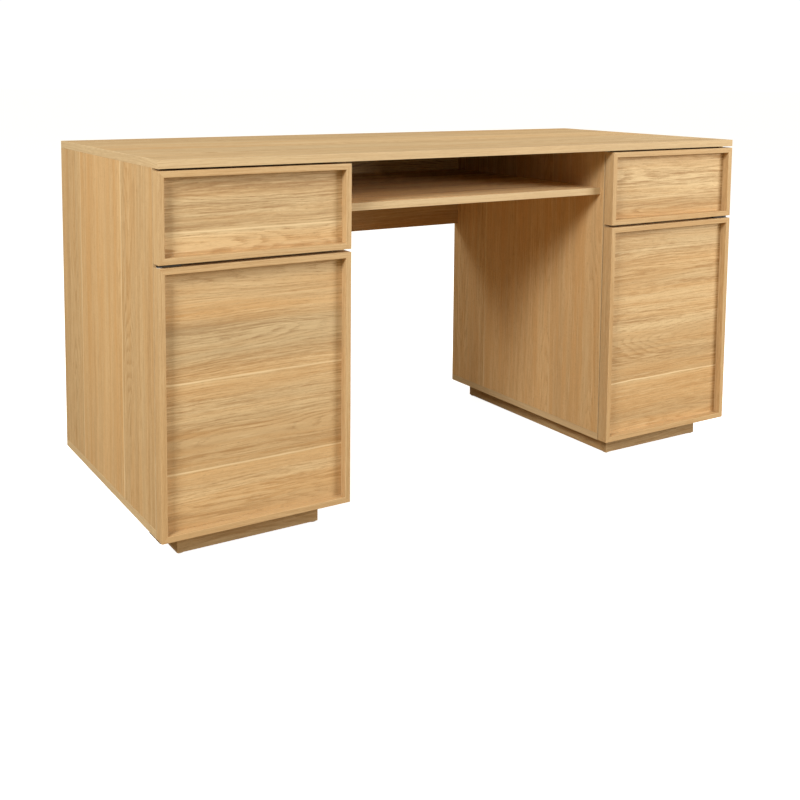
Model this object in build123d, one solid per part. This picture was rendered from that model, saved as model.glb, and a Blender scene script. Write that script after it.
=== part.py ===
from build123d import *
import os

# Twin-pedestal teacher desk. Millimetres; X along the length, the front faces -Y, Z up from the floor.
# The origin is on the floor, under the middle of the desktop.

# Driving dimensions
desk_length = 1500.0
desk_depth = 630.0
desk_height = 760.0
board = 16.0
pedestal_width = 400.0
front_depth = 28.0
front_gap = 2.0
top_gap = 4.0
middle_gap = 6.0
drawer_front_height = 170.5
lip_width = 12.0
recess_depth = 18.0
rebate = 4.0
plinth_height = 48.0
plinth_side_inset = 48.0
plinth_end_inset = 20.0
centre_shelf_drop = 89.0
centre_shelf_setback = 12.0
modesty_drop = 243.0

# Drawer box and its telescopic slides
box_board = 12.0
box_height = 120.0
box_length = 480.0
box_lift = 15.0
box_bottom_board = 6.0
groove_depth = 5.0
groove_lift = 10.0
slide_gap = 13.0
slide_length = 450.0
slide_setback = 2.0
slide_steel = 1.2
slide_play = 0.7
slide_height = 45.0
slide_webs = {"outer": 0.0, "middle": 3.0, "inner": slide_gap}
slide_tips = {"outer": 9.6, "middle": 10.9, "inner": 5.7}

# Door pivots and catches
pin_radius = 2.5
pin_play = 0.05
pin_reach = 13.0
bush_radius = 4.0
bush_length = 14.0
bush_flange_radius = 5.3
bush_flange = 0.7
plate_thickness = 2.0
plate_half_width = 5.5
plate_length = 56.0
leaf_width = 30.0
plate_screw_radius = 2.0
plate_screw_rows = (26.0, 44.0)
door_floor_gap = 1.0
door_drop = 1.5
catch_size = (44.0, 20.0, 14.0)
catch_gap = 0.3
strike_size = (26.0, 1.2, 11.0)
strike_inset = 34.0

# Fixings
fit_play = 0.05
overshoot = 1.0
front_row_inset = 70.0
middle_row = 15.0
back_row_inset = 45.0
peg_row_back_inset = 65.0
shelf_dowel_back_inset = 75.0
peg_radius = 2.5
peg_depth = 10.0
tab_size = (9.0, 12.0, 3.0)
shelf_setback = 30.0
shelf_side_play = 1.0
dowel_radius = 4.0
dowel_length = 30.0
dowel_in_face = 11.0
back_dowel_rise = 60.0
back_dowel_drop = 120.0
modesty_dowel_inset = 35.0
cam_radius = 7.5
cam_depth = 12.5
cam_drop = 34.0
cam_bolt_radius = 3.0
cam_bolt_in_top = 11.0
cam_slot = (3.0, 8.0, 1.6)
cam_bolt_way = 2.0
screw_radius = 3.5
screw_head_radius = 5.0
screw_head_height = 3.0
screw_length = 50.0
socket_radius = 2.2
socket_depth = 2.4
glide_radius = 7.0
glide_height = 2.0
nail_radius = 0.9
nail_length = 12.0

# Worked out from the driving dimensions
outer_face = desk_length / 2
inner_face = outer_face - pedestal_width
outer_wall = outer_face - board
inner_wall = inner_face + board
front = -desk_depth / 2
back = desk_depth / 2
carcass_front = front + front_depth + front_gap
back_board_front = back - board
top_under = desk_height - board
floor_board_top = plinth_height + board
drawer_front_top = top_under - top_gap
drawer_front_bottom = drawer_front_top - drawer_front_height
divider_top = drawer_front_bottom - middle_gap + door_drop
divider_bottom = divider_top - board
door_top = drawer_front_bottom - middle_gap
door_bottom = plinth_height + door_floor_gap
front_back = front + front_depth
panel_front = front + recess_depth
cupboard_shelf_bottom = (floor_board_top + divider_bottom - board) / 2
centre_shelf_top = top_under - centre_shelf_drop
centre_shelf_bottom = centre_shelf_top - board
modesty_bottom = top_under - modesty_drop
box_outer = outer_wall - slide_gap
box_inner = inner_wall + slide_gap
box_bottom = divider_top + box_lift
box_top = box_bottom + box_height
box_back = front_back + box_length
box_panel_bottom = box_bottom + groove_lift
slide_front = carcass_front + slide_setback
slide_middle = (box_bottom + box_top) / 2
pin_x = outer_face - lip_width / 2
pin_y = front + front_depth / 2
catch_front = front_back + strike_size[1] + catch_gap
side_middle = {"outer": outer_face - board / 2, "inner": inner_face + board / 2}
fixing_rows = (carcass_front + front_row_inset, middle_row, back - back_row_inset)
shelf_peg_rows = (carcass_front + front_row_inset, back - peg_row_back_inset)
back_dowel_heights = (floor_board_top + back_dowel_rise, divider_bottom - back_dowel_drop,
                      divider_top + back_dowel_rise)
modesty_dowel_heights = (modesty_bottom + modesty_dowel_inset, top_under - modesty_dowel_inset)

SIDES = {"left": -1, "right": 1}


def block(side, x0, x1, y0, y1, z0, z1):
    """A rectangular board. x0 and x1 are distances from the middle of the desk, on one side of it."""
    centre = Pos(side * (x0 + x1) / 2, (y0 + y1) / 2, (z0 + z1) / 2)
    return centre * Box(abs(x1 - x0), abs(y1 - y0), abs(z1 - z0))


def upright_rod(x, y, z0, z1, radius):
    return Pos(x, y, (z0 + z1) / 2) * Cylinder(radius, z1 - z0)


def cross_rod(x0, x1, y, z, radius):
    return Pos((x0 + x1) / 2, y, z) * Rot(0, 90, 0) * Cylinder(radius, abs(x1 - x0))


def take_away(solid, cutters):
    for cutter in cutters:
        solid = solid - cutter
    return solid


def save(name, shapes):
    """Write one node. A list becomes a group of separate solids."""
    if isinstance(shapes, list):
        solids = [solid for shape in shapes for solid in shape.solids()]
        shape = Compound(label=name, children=solids)
    else:
        shape = shapes
        shape.label = name
    export_step(shape, "parts/" + name + ".step")


# Fixings: each function gives the pieces, or the holes for them when play is added.

def dowel_places():
    """Dowels along X as (x of the joint face, direction into the end grain, y, z)."""
    places = []
    for side in SIDES.values():
        for face, inward in ((outer_wall, -1), (inner_wall, 1)):
            divider_z = divider_top - board / 2
            for y in fixing_rows:
                places.append((side * face, side * inward, y, divider_z))
            for z in back_dowel_heights:
                places.append((side * face, side * inward, back - board / 2, z))
        shelf_z = centre_shelf_top - board / 2
        for y in (carcass_front + front_row_inset, back - shelf_dowel_back_inset):
            places.append((side * inner_face, -side, y, shelf_z))
        for z in modesty_dowel_heights:
            places.append((side * inner_face, -side, back - board / 2, z))
    return places


def dowels(play=0.0):
    pieces = []
    for x, inward, y, z in dowel_places():
        start = x - inward * (dowel_in_face + play)
        end = x + inward * (dowel_length - dowel_in_face + play)
        pieces.append(cross_rod(start, end, y, z, dowel_radius + play))
    return pieces


def shelf_peg_places():
    return [(side * wall, outward * side, y)
            for side in SIDES.values()
            for wall, outward in ((outer_wall, 1), (inner_wall, -1))
            for y in shelf_peg_rows]


def shelf_peg_holes():
    z = cupboard_shelf_bottom - tab_size[2] / 2
    return [cross_rod(x, x + outward * (peg_depth + fit_play), y, z, peg_radius + fit_play)
            for x, outward, y in shelf_peg_places()]


def shelf_pegs():
    pieces = []
    z = cupboard_shelf_bottom - tab_size[2] / 2
    for x, outward, y in shelf_peg_places():
        peg = cross_rod(x, x + outward * peg_depth, y, z, peg_radius)
        tab = Pos(x - outward * tab_size[0] / 2, y, z) * Box(*tab_size)
        pieces.append(peg + tab)
    return pieces


def cam_places():
    """Cam fittings in the walls of the pedestals as (x of the wall, direction into it, y)."""
    return [(side * wall, outward * side, y)
            for side in SIDES.values()
            for wall, outward in ((outer_wall, 1), (inner_wall, -1))
            for y in fixing_rows]


def cam_holes():
    holes = []
    z = top_under - cam_drop
    for x, outward, y in cam_places():
        middle = x + outward * board / 2
        holes.append(cross_rod(x, x + outward * (cam_depth + fit_play), y, z, cam_radius + fit_play))
        holes.append(upright_rod(middle, y, z, top_under + cam_bolt_in_top, cam_bolt_radius + fit_play))
    return holes


def cam_fittings():
    pieces = []
    z = top_under - cam_drop
    for x, outward, y in cam_places():
        middle = x + outward * board / 2
        cam = cross_rod(x, x + outward * cam_depth, y, z, cam_radius)
        slot = Pos(x, y, z) * Box(*cam_slot)
        bolt_way = upright_rod(middle, y, z - cam_bolt_way, z + cam_radius + cam_bolt_way,
                               cam_bolt_radius + fit_play)
        bolt = upright_rod(middle, y, z, top_under + cam_bolt_in_top - fit_play, cam_bolt_radius)
        pieces.append(cam - slot - bolt_way)
        pieces.append(bolt)
    return pieces


def floor_screw_places():
    return [(side * x, y) for side in SIDES.values() for x in side_middle.values() for y in fixing_rows]


def floor_screw(x, y, play=0.0):
    shank = upright_rod(x, y, plinth_height, plinth_height + screw_length + play, screw_radius + play)
    head_middle = plinth_height + screw_head_height / 2
    head = Pos(x, y, head_middle) * Cone(screw_head_radius + play, screw_radius + play, screw_head_height)
    return shank + head


def floor_screws():
    pieces = []
    for x, y in floor_screw_places():
        socket = Pos(x, y, plinth_height) * extrude(RegularPolygon(socket_radius, 6), socket_depth)
        pieces.append(floor_screw(x, y) - socket)
    return pieces


def glide_places():
    x_rows = (outer_face - plinth_side_inset - board / 2, inner_face + plinth_side_inset + board / 2)
    y_rows = (carcass_front + plinth_end_inset + board / 2, back - plinth_end_inset - board / 2)
    return [(side * x, y) for side in SIDES.values() for x in x_rows for y in y_rows]


def glides(play=0.0):
    pieces = []
    for x, y in glide_places():
        foot = upright_rod(x, y, 0, glide_height, glide_radius)
        nail = upright_rod(x, y, glide_height, glide_height + nail_length + play, nail_radius + play)
        pieces.append(foot + nail)
    return pieces


# Carcass

def desktop():
    top = block(1, -outer_face, outer_face, front, back, top_under, desk_height)
    return take_away(top, cam_holes())


def side_board(side, which):
    x0, x1 = (outer_wall, outer_face) if which == "outer" else (inner_face, inner_wall)
    panel = block(side, x0, x1, carcass_front, back, floor_board_top, top_under)
    cutters = cam_holes() + dowels(fit_play) + shelf_peg_holes()
    cutters += [floor_screw(x, y, fit_play) for x, y in floor_screw_places()]
    middle = side * side_middle[which]
    return take_away(panel, [cutter for cutter in cutters if abs(cutter.center().X - middle) < dowel_length])


def floor_board(side):
    panel = block(side, inner_face, outer_face, carcass_front, back, plinth_height, floor_board_top)
    return take_away(panel, [floor_screw(x, y, fit_play) for x, y in floor_screw_places() if x * side > 0])


def back_board(side):
    panel = block(side, inner_wall, outer_wall, back_board_front, back, floor_board_top, top_under)
    return take_away(panel, dowels(fit_play))


def divider(side):
    panel = block(side, inner_wall, outer_wall, carcass_front, back_board_front, divider_bottom, divider_top)
    return take_away(panel, dowels(fit_play))


def cupboard_shelf(side):
    top = cupboard_shelf_bottom + board
    return block(side, inner_wall + shelf_side_play, outer_wall - shelf_side_play,
                 carcass_front + shelf_setback, back_board_front - shelf_side_play,
                 cupboard_shelf_bottom, top)


def centre_shelf():
    panel = block(1, -inner_face, inner_face, carcass_front + centre_shelf_setback, back_board_front,
                  centre_shelf_bottom, centre_shelf_top)
    return take_away(panel, dowels(fit_play))


def modesty_panel():
    panel = block(1, -inner_face, inner_face, back_board_front, back, modesty_bottom, top_under)
    return take_away(panel, dowels(fit_play))


def plinth_end(side, which):
    """The front or back board of a plinth, as wide as the plinth."""
    face = carcass_front + plinth_end_inset if which == "front" else back - plinth_end_inset - board
    strip = block(side, inner_face + plinth_side_inset, outer_face - plinth_side_inset,
                  face, face + board, glide_height, plinth_height)
    return take_away(strip, glides(fit_play))


def plinth_sides(side):
    y0 = carcass_front + plinth_end_inset + board
    y1 = back - plinth_end_inset - board
    outer = outer_face - plinth_side_inset
    inner = inner_face + plinth_side_inset
    return [block(side, outer - board, outer, y0, y1, glide_height, plinth_height),
            block(side, inner, inner + board, y0, y1, glide_height, plinth_height)]


# Fronts: a mitred lipping round a recessed panel

def front_panel_seat(side, z0, z1):
    edge = lip_width - rebate
    return block(side, inner_face + edge, outer_face - edge, panel_front, front_back, z0 + edge, z1 - edge)


def mitred_strip(outline):
    face = make_face(Polyline(*[(x, front, z) for x, z in outline], close=True))
    return extrude(face, front_depth, dir=(0, 1, 0))


def front_stiles(side, z0, z1):
    seat = front_panel_seat(side, z0, z1)
    pieces = []
    for x, inward in ((side * outer_face, -side), (side * inner_face, side)):
        lip = x + inward * lip_width
        outline = [(x, z0), (x, z1), (lip, z1 - lip_width), (lip, z0 + lip_width)]
        pieces.append(mitred_strip(outline) - seat)
    return pieces


def front_rails(side, z0, z1):
    seat = front_panel_seat(side, z0, z1)
    outer, inner = side * outer_face, side * inner_face
    pieces = []
    for z, inward in ((z0, 1), (z1, -1)):
        lip = z + inward * lip_width
        outline = [(outer, z), (inner, z), (inner + side * lip_width, lip), (outer - side * lip_width, lip)]
        pieces.append(mitred_strip(outline) - seat)
    return pieces


# Door pivots: a fixed plate with a pin at the top and at the bottom, and a bush in each end of the stile

def bush_holes(side):
    depth = bush_length + fit_play
    return [upright_rod(side * pin_x, pin_y, door_bottom, door_bottom + depth, bush_radius + fit_play),
            upright_rod(side * pin_x, pin_y, door_top - depth, door_top, bush_radius + fit_play)]


def door_bushes(side):
    pieces = []
    for end, inward in ((door_bottom, 1), (door_top, -1)):
        sleeve = Pos(side * pin_x, pin_y, end + inward * bush_length / 2) * Cylinder(bush_radius, bush_length)
        flange_middle = Pos(side * pin_x, pin_y, end - inward * bush_flange / 2)
        flange = flange_middle * Cylinder(bush_flange_radius, bush_flange)
        bore_length = 2 * (bush_length + bush_flange + overshoot)
        bore = Pos(side * pin_x, pin_y, end) * Cylinder(pin_radius + pin_play, bore_length)
        pieces.append(sleeve + flange - bore)
    return pieces


def bottom_pivot(side):
    top = plinth_height
    strip = block(side, pin_x - plate_half_width, pin_x + plate_half_width,
                  pin_y, pin_y + plate_length, top - plate_thickness, top)
    nose = upright_rod(side * pin_x, pin_y, top - plate_thickness, top, plate_half_width)
    pin = upright_rod(side * pin_x, pin_y, top - plate_thickness, top + pin_reach, pin_radius)
    holes = [upright_rod(side * pin_x, pin_y + row, top - plate_thickness, top, plate_screw_radius)
             for row in plate_screw_rows]
    return take_away(strip + nose + pin, holes)


def top_pivot(side):
    low, high = divider_top, divider_top + plate_thickness
    leaf_edge = outer_wall - fit_play
    leaf = block(side, leaf_edge - leaf_width, leaf_edge,
                 pin_y - plate_half_width, pin_y + plate_length, low, high)
    arm = block(side, leaf_edge - leaf_width / 2, pin_x,
                pin_y - plate_half_width, pin_y + plate_half_width, low, high)
    nose = upright_rod(side * pin_x, pin_y, low, high, plate_half_width)
    pin = upright_rod(side * pin_x, pin_y, low - pin_reach, high, pin_radius)
    holes = [upright_rod(side * (leaf_edge - leaf_width / 2), pin_y + row, low, high, plate_screw_radius)
             for row in plate_screw_rows]
    return take_away(leaf + arm + nose + pin, holes)


def door_catch(side):
    width, depth, height = catch_size
    x = inner_wall + strike_inset
    return block(side, x - width / 2, x + width / 2, catch_front, catch_front + depth,
                 divider_bottom - height, divider_bottom)


def catch_plate(side):
    width, thickness, height = strike_size
    x = inner_wall + strike_inset
    middle = divider_bottom - catch_size[2] / 2
    return block(side, x - width / 2, x + width / 2, front_back, front_back + thickness,
                 middle - height / 2, middle + height / 2)


# Drawer box

def drawer_bottom(side):
    return block(side, box_inner + box_board - groove_depth, box_outer - box_board + groove_depth,
                 front_back + box_board - groove_depth, box_back - box_board + groove_depth,
                 box_panel_bottom, box_panel_bottom + box_bottom_board)


def drawer_box_front(side):
    wall = block(side, box_inner, box_outer, front_back, front_back + box_board, box_bottom, box_top)
    return wall - drawer_bottom(side)


def drawer_box_back(side):
    wall = block(side, box_inner + box_board, box_outer - box_board,
                 box_back - box_board, box_back, box_bottom, box_top)
    return wall - drawer_bottom(side)


def drawer_box_sides(side):
    pieces = []
    for x in (box_inner, box_outer - box_board):
        wall = block(side, x, x + box_board, front_back + box_board, box_back, box_bottom, box_top)
        pieces.append(wall - drawer_bottom(side))
    return pieces


# Telescopic slides: three nested steel channels on each side of a drawer

def channel(side, web, open_to, half_height):
    """A channel along Y. web is the x of its flat back, open_to is the x its flanges reach."""
    outward = 1 if open_to > web else -1
    outer = block(side, web, open_to, slide_front, slide_front + slide_length,
                  slide_middle - half_height, slide_middle + half_height)
    hollow = block(side, web + outward * slide_steel, open_to + outward * overshoot,
                   slide_front - overshoot, slide_front + slide_length + overshoot,
                   slide_middle - half_height + slide_steel, slide_middle + half_height - slide_steel)
    return outer - hollow


def slide_members(side, which):
    """The outer, middle or inner channels of one drawer, one for each side of it."""
    step = slide_steel + slide_play
    half_height = slide_height / 2 - {"outer": 0, "middle": step, "inner": 2 * step}[which]
    pieces = []
    for wall, inward in ((outer_wall, -1), (inner_wall, 1)):
        web = wall + inward * slide_webs[which]
        tip = wall + inward * slide_tips[which]
        pieces.append(channel(side, web, tip, half_height))
    return pieces


def build_pedestal(name, side):
    for which in ("outer", "inner"):
        save(name + "_" + which + "_side", side_board(side, which))
    save(name + "_floor_board", floor_board(side))
    save(name + "_back_board", back_board(side))
    save(name + "_divider", divider(side))
    save(name + "_cupboard_shelf", cupboard_shelf(side))
    for which in ("front", "back"):
        save(name + "_plinth_" + which, plinth_end(side, which))
    save(name + "_plinth_sides", plinth_sides(side))
    save(name + "_pivot_plates", [bottom_pivot(side), top_pivot(side)])
    save(name + "_slide_outer", slide_members(side, "outer"))


def build_door(name, side):
    holes = bush_holes(side)
    save(name + "_door_panel", front_panel_seat(side, door_bottom, door_top))
    stiles = front_stiles(side, door_bottom, door_top)
    rails = front_rails(side, door_bottom, door_top)
    save(name + "_door_stiles", [take_away(strip, holes) for strip in stiles])
    save(name + "_door_rails", [take_away(strip, holes) for strip in rails])
    save(name + "_door_bushes", door_bushes(side))
    save(name + "_catch_plate", catch_plate(side))


def build_drawer(name, side):
    save(name + "_drawer_panel", front_panel_seat(side, drawer_front_bottom, drawer_front_top))
    save(name + "_drawer_stiles", front_stiles(side, drawer_front_bottom, drawer_front_top))
    save(name + "_drawer_rails", front_rails(side, drawer_front_bottom, drawer_front_top))
    save(name + "_drawer_box_front", drawer_box_front(side))
    save(name + "_drawer_box_sides", drawer_box_sides(side))
    save(name + "_drawer_box_back", drawer_box_back(side))
    save(name + "_drawer_bottom", drawer_bottom(side))
    save(name + "_slide_inner", slide_members(side, "inner"))
    save(name + "_slide_middle", slide_members(side, "middle"))


os.makedirs("parts", exist_ok=True)
save("desktop", desktop())
save("centre_shelf", centre_shelf())
save("modesty_panel", modesty_panel())
for side_name, side_sign in SIDES.items():
    build_pedestal(side_name, side_sign)
    build_door(side_name, side_sign)
    build_drawer(side_name, side_sign)
save("dowels", dowels())
save("shelf_pegs", shelf_pegs())
save("cam_fittings", cam_fittings())
save("floor_screws", floor_screws())
save("glides", glides())
save("door_catches", [door_catch(side) for side in SIDES.values()])
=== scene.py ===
import functools
import math
import random

import bmesh
import bpy
from bpy.props import FloatProperty, FloatVectorProperty, PointerProperty
from mathutils import Matrix, Vector


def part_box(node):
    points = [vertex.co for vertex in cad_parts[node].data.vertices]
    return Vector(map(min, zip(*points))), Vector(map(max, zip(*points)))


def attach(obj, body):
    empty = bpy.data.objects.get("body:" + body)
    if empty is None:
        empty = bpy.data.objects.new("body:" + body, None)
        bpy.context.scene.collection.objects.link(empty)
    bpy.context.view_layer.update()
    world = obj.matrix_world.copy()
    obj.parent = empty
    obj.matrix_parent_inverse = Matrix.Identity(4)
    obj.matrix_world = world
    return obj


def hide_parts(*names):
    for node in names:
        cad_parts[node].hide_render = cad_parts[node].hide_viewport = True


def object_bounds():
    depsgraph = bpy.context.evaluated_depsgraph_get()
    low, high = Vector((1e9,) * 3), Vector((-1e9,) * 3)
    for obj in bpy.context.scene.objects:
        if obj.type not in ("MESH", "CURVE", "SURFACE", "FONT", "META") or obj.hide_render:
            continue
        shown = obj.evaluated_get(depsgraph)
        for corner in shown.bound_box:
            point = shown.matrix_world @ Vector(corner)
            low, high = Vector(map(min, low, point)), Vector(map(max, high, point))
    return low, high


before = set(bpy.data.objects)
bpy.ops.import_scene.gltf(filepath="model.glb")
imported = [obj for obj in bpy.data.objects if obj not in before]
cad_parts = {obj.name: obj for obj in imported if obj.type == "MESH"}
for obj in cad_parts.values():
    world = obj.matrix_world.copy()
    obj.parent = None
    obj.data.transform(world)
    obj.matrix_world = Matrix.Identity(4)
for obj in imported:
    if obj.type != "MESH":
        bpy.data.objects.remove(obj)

bl_info = {
    "name": "Teacher desk",
    "version": (1, 0, 0),
    "blender": (4, 5, 0),
    "location": "3D View > Sidebar > Desk",
    "description": "Builds the veneered oak desk, its drawers, doors and fittings round the packed frame",
    "category": "Object",
}

AXES = "xyz"
SIDES = ("left", "right")
CLOSE = 1e-6        # points nearer than this, in metres, are taken as one
WELD = 1e-7         # points nearer than this are merged
CRISP_ANGLE = 35.0  # degrees past which an edge is drawn sharp
JOINT_LINE = 0.0018  # width of the pale line between two leaves of veneer
FLOOR_DROP = 0.0005  # the studio floor lies this far under the glides
CAD_LOW, CAD_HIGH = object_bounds()


# What a user would change

def size(name, description, default):
    return FloatProperty(name=name, description=description, default=default, min=0.0,
                         precision=5, unit="LENGTH", subtype="DISTANCE")


def colour(name, description, default):
    return FloatVectorProperty(name=name, description=description, default=default,
                               size=3, min=0.0, max=1.0, subtype="COLOR")


def amount(name, description, default, high=10.0):
    return FloatProperty(name=name, description=description, default=default, min=0.0, max=high)


class DeskBoardSizes(bpy.types.PropertyGroup):
    """Sizes of the joinery that the CAD boxes don't give."""
    arris: size("Arris", "Radius sanded on the edges of a board", 0.0006)
    lip_arris: size("Lipping arris", "Radius sanded on the edges of the lipping", 0.0007)
    band: size("Edge band", "Thickness of the oak band glued on a board's edge", 0.0012)
    rebate: size("Rebate", "How far a recessed panel runs under its lipping", 0.004)
    play: size("Bore play", "Room left round a dowel, cam or screw", 0.00005)
    ply_arris: size("Plywood arris", "Radius sanded on the drawer box's edges", 0.0012)


class DeskFittingSizes(bpy.types.PropertyGroup):
    """Sizes of the metal and plastic fittings."""
    steel: size("Slide steel", "Thickness of the slide channels", 0.0012)
    bend: size("Slide bend", "Outside radius of the slide channels' corners", 0.0024)
    bush_flange: size("Bush flange", "Thickness of the flange on a door bush", 0.0007)
    bush_step: size("Bush step", "How far the flange stands out past the bush's sleeve", 0.0013)
    bush_bore: size("Bush bore", "Radius of the hole that the door's pin turns in", 0.00255)


class DeskOakColours(bpy.types.PropertyGroup):
    """Colours of the lacquered oak."""
    pale: colour("Pale wood", "Late wood between the rings", (0.748, 0.566, 0.316))
    deep: colour("Deep wood", "Early wood and dark streaks", (0.415, 0.245, 0.105))
    orange: colour("Orange wood", "Warm heartwood drifts", (0.640, 0.375, 0.150))
    tan: colour("Tan wood", "Greyish drifts", (0.520, 0.380, 0.205))
    pore: colour("Pore", "Open pores filled with lacquer", (0.260, 0.145, 0.058))
    # The joint colour also paints the pale arris highlight and the rays.
    joint: colour("Joint", "Pale line where two leaves of veneer meet", (0.860, 0.665, 0.385))
    band: colour("Edge band", "Lighter solid oak of the edge bands", (0.700, 0.545, 0.320))
    lipping: colour("Lipping", "Solid oak of the lipping round the fronts", (0.600, 0.385, 0.180))


class DeskFittingColours(bpy.types.PropertyGroup):
    """Colours of everything that isn't oak."""
    birch: colour("Birch", "Face of the drawer plywood", (0.720, 0.590, 0.410))
    birch_core: colour("Birch core", "Dark plies on the plywood's edge", (0.480, 0.330, 0.180))
    beech: colour("Beech", "Dowels", (0.620, 0.390, 0.220))
    zinc: colour("Zinc", "Bright zinc plate", (0.620, 0.630, 0.640))
    nylon: colour("Nylon", "Bushes and glides", (0.780, 0.760, 0.700))
    black: colour("Black plastic", "Catch housings", (0.020, 0.020, 0.022))


class DeskStudio(bpy.types.PropertyGroup):
    """The floor, the light and the camera."""
    floor: colour("Floor", "Colour of the studio floor", (0.90, 0.90, 0.89))
    bounce: colour("Bounce floor", "How much light the floor throws back", (0.34, 0.25, 0.13))
    key: FloatProperty(name="Key", description="Power of the softbox on the right",
                       default=99.0, unit="POWER")
    side: FloatProperty(name="Side", description="Power of the softbox on the left",
                        default=99.0, unit="POWER")
    top: FloatProperty(name="Top", description="Power of the softbox high over the right end",
                       default=22.0, unit="POWER")
    back: FloatProperty(name="Back", description="Power of the softbox behind the left end",
                        default=36.0, unit="POWER")
    ambient: amount("Ambient", "Brightness of the studio all round", 0.25)
    glow: colour("Glow", "Colour of the light that the studio throws back", (1.0, 0.86, 0.62))
    lens: FloatProperty(name="Lens", description="Focal length in millimetres",
                        default=48.73, unit="CAMERA")


# Node helpers

def add_node(tree, kind, inputs=None, **settings):
    """One node. A socket in inputs is linked, anything else is set as the value."""
    made = tree.nodes.new(kind)
    for key, value in settings.items():
        setattr(made, key, value)
    for key, value in (inputs or {}).items():
        if isinstance(value, bpy.types.NodeSocket):
            tree.links.new(value, made.inputs[key])
        else:
            made.inputs[key].default_value = value
    return made


def calc(tree, operation, *values):
    return add_node(tree, "ShaderNodeMath", dict(enumerate(values)), operation=operation).outputs[0]


def vector_calc(tree, operation, *values):
    return add_node(tree, "ShaderNodeVectorMath", dict(enumerate(values)), operation=operation).outputs[0]


def blend(tree, share, first, second):
    """Mixes two colours."""
    mix = add_node(tree, "ShaderNodeMix", data_type="RGBA", blend_type="MIX", clamp_factor=True)
    for socket, value in ((mix.inputs[0], share), (mix.inputs[6], first), (mix.inputs[7], second)):
        if isinstance(value, bpy.types.NodeSocket):
            tree.links.new(value, socket)
        else:
            socket.default_value = value if isinstance(value, float) else (*value, 1.0)
    return mix.outputs[2]


def grain_noise(tree, place, stretch, detail=2.0, roughness=0.5):
    """Noise with a feature length of 1 / stretch along each direction of the wood."""
    stretched = vector_calc(tree, "MULTIPLY", place, stretch)
    texture = add_node(tree, "ShaderNodeTexNoise",
                       {"Vector": stretched, "Scale": 1.0, "Detail": detail, "Roughness": roughness})
    return texture.outputs["Fac"]


def fade(tree, value, low, high, to_low=0.0, to_high=1.0, smooth=True):
    """Maps low..high to to_low..to_high, and stops at both ends."""
    kind = "SMOOTHSTEP" if smooth else "LINEAR"
    return add_node(tree, "ShaderNodeMapRange",
                    {"Value": value, "From Min": low, "From Max": high, "To Min": to_low, "To Max": to_high},
                    interpolation_type=kind).outputs["Result"]


def ramp(tree, value, stops, interpolation="LINEAR"):
    made = add_node(tree, "ShaderNodeValToRGB", {"Fac": value})
    elements = made.color_ramp.elements
    made.color_ramp.interpolation = interpolation
    while len(elements) < len(stops):
        elements.new(1.0)
    for element, (place, shade) in zip(elements, stops):
        element.position = place
        element.color = (*shade, 1.0)
    return made.outputs["Color"]


def split(tree, vector):
    return add_node(tree, "ShaderNodeSeparateXYZ", {0: vector}).outputs


def worn_arris(tree, place, normal):
    """1 on the rounded arrises, broken up in patches by noise. Oak paints a pale highlight on its arrises
    with it; moulded plastic paints scuffs on its corners.
    """
    parts = [calc(tree, "ABSOLUTE", part) for part in split(tree, normal)]
    flattest = calc(tree, "MAXIMUM", calc(tree, "MAXIMUM", parts[0], parts[1]), parts[2])
    rounded = fade(tree, flattest, 0.995, 0.86)
    # Noise that breaks the mask into patches; on oak these are gaps in the painted arris highlight.
    patchy = fade(tree, grain_noise(tree, place, (38.0, 38.0, 38.0), 3.0), 0.36, 0.62, 0.25, 1.0)
    return calc(tree, "MULTIPLY", rounded, patchy)


def new_material(name):
    material = bpy.data.materials.new(name)
    material.use_nodes = True
    tree = material.node_tree
    shader = tree.nodes["Principled BSDF"]
    coordinates = tree.nodes.new("ShaderNodeTexCoord")
    return material, tree, shader, coordinates


def relief(tree, shader, height, depth, strength=1.0):
    bump = add_node(tree, "ShaderNodeBump", {"Height": height, "Distance": depth, "Strength": strength})
    tree.links.new(bump.outputs["Normal"], shader.inputs["Normal"])


# Oak

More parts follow.
